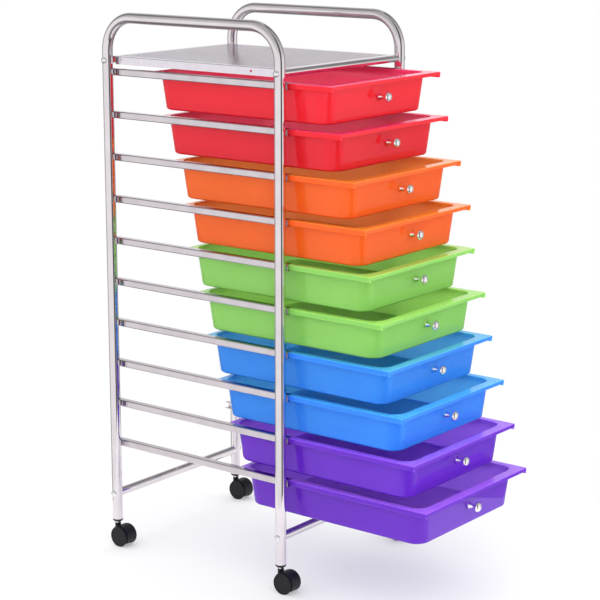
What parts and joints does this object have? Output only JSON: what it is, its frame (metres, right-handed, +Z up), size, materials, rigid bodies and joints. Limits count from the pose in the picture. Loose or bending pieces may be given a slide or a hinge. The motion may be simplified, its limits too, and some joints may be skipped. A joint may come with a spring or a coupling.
{
  "type": "drawer tower",
  "caption": "Rolling drawer tower: chrome tube frame with a mesh top shelf, moulded plastic drawers that slide on side rails, round knobs and twin-wheel casters.",
  "frame": {"origin": "on the floor, at the middle of the whole footprint with the drawers pulled out as stored", "axes": "+X to the right, +Z up, the knobs face -Y"},
  "size_m": [0.37, 0.69, 0.978],
  "materials": {
    "chrome_tube": "polished chrome plate on steel tube",
    "chrome_rail": "chrome plate on rolled steel channel",
    "chrome_mesh": "plated perforated steel sheet",
    "chrome_knob": "polished",
    "bright_screw": "zinc plated steel",
    "dark_plastic": "black polypropylene",
    "caster_plastic": "black nylon, satin",
    "wheel_plastic": "black nylon, satin",
    "plastic_red": "translucent red polypropylene",
    "plastic_orange": "translucent orange polypropylene",
    "plastic_green": "translucent green polypropylene",
    "plastic_blue": "translucent blue polypropylene",
    "plastic_purple": "translucent purple polypropylene"
  },
  "bodies": {
    "frame": {"left_side_frame": "chrome_tube", "right_side_frame": "chrome_tube", "left_rails": "chrome_rail", "right_rails": "chrome_rail", "top_shelf": "chrome_mesh", "front_crossbar": "chrome_tube", "rear_crossbar": "chrome_tube", "crossbar_plugs": "dark_plastic", "frame_screws": "bright_screw", "caster_sockets": "dark_plastic"},
    "drawer_01": {"drawer_01": "plastic_red", "knob_01": "chrome_knob", "knob_screw_01": "bright_screw"},
    "drawer_02": {"drawer_02": "plastic_red", "knob_02": "chrome_knob", "knob_screw_02": "bright_screw"},
    "drawer_03": {"drawer_03": "plastic_orange", "knob_03": "chrome_knob", "knob_screw_03": "bright_screw"},
    "drawer_04": {"drawer_04": "plastic_orange", "knob_04": "chrome_knob", "knob_screw_04": "bright_screw"},
    "drawer_05": {"drawer_05": "plastic_green", "knob_05": "chrome_knob", "knob_screw_05": "bright_screw"},
    "drawer_06": {"drawer_06": "plastic_green", "knob_06": "chrome_knob", "knob_screw_06": "bright_screw"},
    "drawer_07": {"drawer_07": "plastic_blue", "knob_07": "chrome_knob", "knob_screw_07": "bright_screw"},
    "drawer_08": {"drawer_08": "plastic_blue", "knob_08": "chrome_knob", "knob_screw_08": "bright_screw"},
    "drawer_09": {"drawer_09": "plastic_purple", "knob_09": "chrome_knob", "knob_screw_09": "bright_screw"},
    "drawer_10": {"drawer_10": "plastic_purple", "knob_10": "chrome_knob", "knob_screw_10": "bright_screw"},
    "caster_front_left": {"caster_body_front_left": "caster_plastic", "caster_stem_front_left": "bright_screw", "caster_axle_front_left": "bright_screw"},
    "wheel_outer_front_left": {"wheel_outer_front_left": "wheel_plastic"},
    "wheel_inner_front_left": {"wheel_inner_front_left": "wheel_plastic"},
    "caster_front_right": {"caster_body_front_right": "caster_plastic", "caster_stem_front_right": "bright_screw", "caster_axle_front_right": "bright_screw"},
    "wheel_outer_front_right": {"wheel_outer_front_right": "wheel_plastic"},
    "wheel_inner_front_right": {"wheel_inner_front_right": "wheel_plastic"},
    "caster_rear_left": {"caster_body_rear_left": "caster_plastic", "caster_stem_rear_left": "bright_screw", "caster_axle_rear_left": "bright_screw"},
    "wheel_outer_rear_left": {"wheel_outer_rear_left": "wheel_plastic"},
    "wheel_inner_rear_left": {"wheel_inner_rear_left": "wheel_plastic"},
    "caster_rear_right": {"caster_body_rear_right": "caster_plastic", "caster_stem_rear_right": "bright_screw", "caster_axle_rear_right": "bright_screw"},
    "wheel_outer_rear_right": {"wheel_outer_rear_right": "wheel_plastic"},
    "wheel_inner_rear_right": {"wheel_inner_rear_right": "wheel_plastic"}
  },
  "joints": [
    {"name": "drawer_01_slide", "type": "slide", "parent": "frame", "child": "drawer_01", "axis": [0, -1, 0], "range_m": [-0.084, 0.216]},
    {"name": "drawer_02_slide", "type": "slide", "parent": "frame", "child": "drawer_02", "axis": [0, -1, 0], "range_m": [-0.102, 0.198]},
    {"name": "drawer_03_slide", "type": "slide", "parent": "frame", "child": "drawer_03", "axis": [0, -1, 0], "range_m": [-0.13, 0.17]},
    {"name": "drawer_04_slide", "type": "slide", "parent": "frame", "child": "drawer_04", "axis": [0, -1, 0], "range_m": [-0.152, 0.148]},
    {"name": "drawer_05_slide", "type": "slide", "parent": "frame", "child": "drawer_05", "axis": [0, -1, 0], "range_m": [-0.162, 0.138]},
    {"name": "drawer_06_slide", "type": "slide", "parent": "frame", "child": "drawer_06", "axis": [0, -1, 0], "range_m": [-0.186, 0.114]},
    {"name": "drawer_07_slide", "type": "slide", "parent": "frame", "child": "drawer_07", "axis": [0, -1, 0], "range_m": [-0.202, 0.098]},
    {"name": "drawer_08_slide", "type": "slide", "parent": "frame", "child": "drawer_08", "axis": [0, -1, 0], "range_m": [-0.228, 0.072]},
    {"name": "drawer_09_slide", "type": "slide", "parent": "frame", "child": "drawer_09", "axis": [0, -1, 0], "range_m": [-0.252, 0.048]},
    {"name": "drawer_10_slide", "type": "slide", "parent": "frame", "child": "drawer_10", "axis": [0, -1, 0], "range_m": [-0.278, 0.022]},
    {"name": "caster_swivel_front_left", "type": "hinge", "parent": "frame", "child": "caster_front_left", "pos_m": [-0.17, -0.0495, 0.049], "axis": [0, 0, 1], "continuous": true},
    {"name": "wheel_outer_front_left_spin", "type": "hinge", "parent": "caster_front_left", "child": "wheel_outer_front_left", "pos_m": [-0.18, -0.0635, 0.019], "axis": [1, 0, 0], "continuous": true},
    {"name": "wheel_inner_front_left_spin", "type": "hinge", "parent": "caster_front_left", "child": "wheel_inner_front_left", "pos_m": [-0.16, -0.0635, 0.019], "axis": [1, 0, 0], "continuous": true},
    {"name": "caster_swivel_front_right", "type": "hinge", "parent": "frame", "child": "caster_front_right", "pos_m": [0.17, -0.0495, 0.049], "axis": [0, 0, 1], "continuous": true},
    {"name": "wheel_outer_front_right_spin", "type": "hinge", "parent": "caster_front_right", "child": "wheel_outer_front_right", "pos_m": [0.18, -0.0635, 0.019], "axis": [1, 0, 0], "continuous": true},
    {"name": "wheel_inner_front_right_spin", "type": "hinge", "parent": "caster_front_right", "child": "wheel_inner_front_right", "pos_m": [0.16, -0.0635, 0.019], "axis": [1, 0, 0], "continuous": true},
    {"name": "caster_swivel_rear_left", "type": "hinge", "parent": "frame", "child": "caster_rear_left", "pos_m": [-0.17, 0.3355, 0.049], "axis": [0, 0, 1], "continuous": true},
    {"name": "wheel_outer_rear_left_spin", "type": "hinge", "parent": "caster_rear_left", "child": "wheel_outer_rear_left", "pos_m": [-0.18, 0.3215, 0.019], "axis": [1, 0, 0], "continuous": true},
    {"name": "wheel_inner_rear_left_spin", "type": "hinge", "parent": "caster_rear_left", "child": "wheel_inner_rear_left", "pos_m": [-0.16, 0.3215, 0.019], "axis": [1, 0, 0], "continuous": true},
    {"name": "caster_swivel_rear_right", "type": "hinge", "parent": "frame", "child": "caster_rear_right", "pos_m": [0.17, 0.3355, 0.049], "axis": [0, 0, 1], "continuous": true},
    {"name": "wheel_outer_rear_right_spin", "type": "hinge", "parent": "caster_rear_right", "child": "wheel_outer_rear_right", "pos_m": [0.18, 0.3215, 0.019], "axis": [1, 0, 0], "continuous": true},
    {"name": "wheel_inner_rear_right_spin", "type": "hinge", "parent": "caster_rear_right", "child": "wheel_inner_rear_right", "pos_m": [0.16, 0.3215, 0.019], "axis": [1, 0, 0], "continuous": true}
  ]
}
